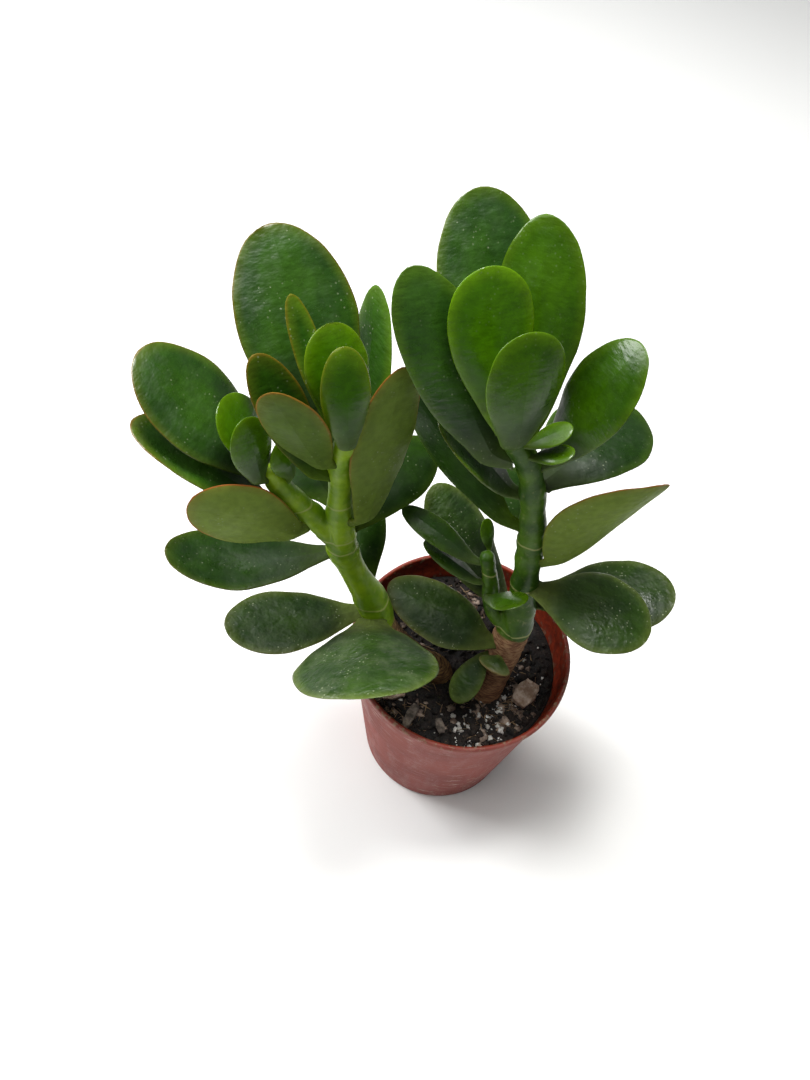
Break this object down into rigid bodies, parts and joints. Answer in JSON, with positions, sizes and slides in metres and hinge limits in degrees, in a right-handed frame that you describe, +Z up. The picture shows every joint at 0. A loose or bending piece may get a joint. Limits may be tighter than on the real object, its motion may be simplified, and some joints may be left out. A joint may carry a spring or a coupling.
{
  "type": "potted jade plant",
  "caption": "Small jade plant with fleshy oval leaves on two branching stems, growing in a tapered round plastic nursery pot.",
  "frame": {"origin": "centre of the pot's underside", "axes": "+Z up through the pot; the plant is seen from -Y, with +X to the right"},
  "size_m": [0.1852, 0.105, 0.2565],
  "materials": {
    "terracotta_plastic": "thin terracotta-red plastic, scuffed and dusty outside",
    "dark_potting_soil": "loose dark peat soil with tan fibres and white perlite",
    "bark_and_green_stem": "tan fibrous bark below, smooth green stem above",
    "green_stem": "smooth fleshy yellow-green stem with pale scar rings",
    "mature_leaf": "thick glossy dark green leaf, thin reddish rim, paler underneath",
    "young_leaf": "thick bright green leaf, soft satin sheen",
    "tan_bark_chip": "dry tan bark",
    "dry_leaf": "grey-brown dry leaf scraps"
  },
  "bodies": {
    "root": {"bark_chip_left": "tan_bark_chip", "bark_chip_right": "tan_bark_chip", "branch_back_left": "mature_leaf", "branch_front": "mature_leaf", "branch_inner_back": "young_leaf", "branch_inner_front": "young_leaf", "branch_left_folded": "mature_leaf", "branch_right": "young_leaf", "dry_leaf_curl": "dry_leaf", "dry_leaf_flake": "dry_leaf", "left_bottom_back": "mature_leaf", "left_bottom_front": "mature_leaf", "left_bottom_side": "mature_leaf", "left_crown_back": "mature_leaf", "left_crown_back_slim": "young_leaf", "left_crown_front_left": "young_leaf", "left_crown_inner_back": "young_leaf", "left_crown_inner_front": "young_leaf", "left_crown_left": "mature_leaf", "left_crown_right_big": "mature_leaf", "left_crown_right_upright": "young_leaf", "left_fork_back": "mature_leaf", "left_fork_right": "mature_leaf", "left_low_side": "mature_leaf", "left_stem": "green_stem", "middle_back_upright": "mature_leaf", "middle_front": "mature_leaf", "pot": "terracotta_plastic", "right_crown_back": "mature_leaf", "right_crown_dark_right": "mature_leaf", "right_crown_inner_back": "young_leaf", "right_crown_inner_front": "young_leaf", "right_crown_left": "mature_leaf", "right_crown_right": "young_leaf", "right_crown_upper_right": "young_leaf", "right_low_back": "mature_leaf", "right_low_front": "mature_leaf", "right_mid_back": "mature_leaf", "right_mid_left": "mature_leaf", "right_mid_left_upper": "mature_leaf", "right_mid_right": "mature_leaf", "right_shoot_crescent_lower": "young_leaf", "right_shoot_crescent_upper": "young_leaf", "right_stem": "bark_and_green_stem", "scar_stub": "young_leaf", "shoot_inner": "young_leaf", "shoot_lower_left": "mature_leaf", "shoot_right_disc": "young_leaf", "shoot_upper_left": "mature_leaf", "soil": "dark_potting_soil", "soil_droop": "mature_leaf"}
  },
  "joints": []
}
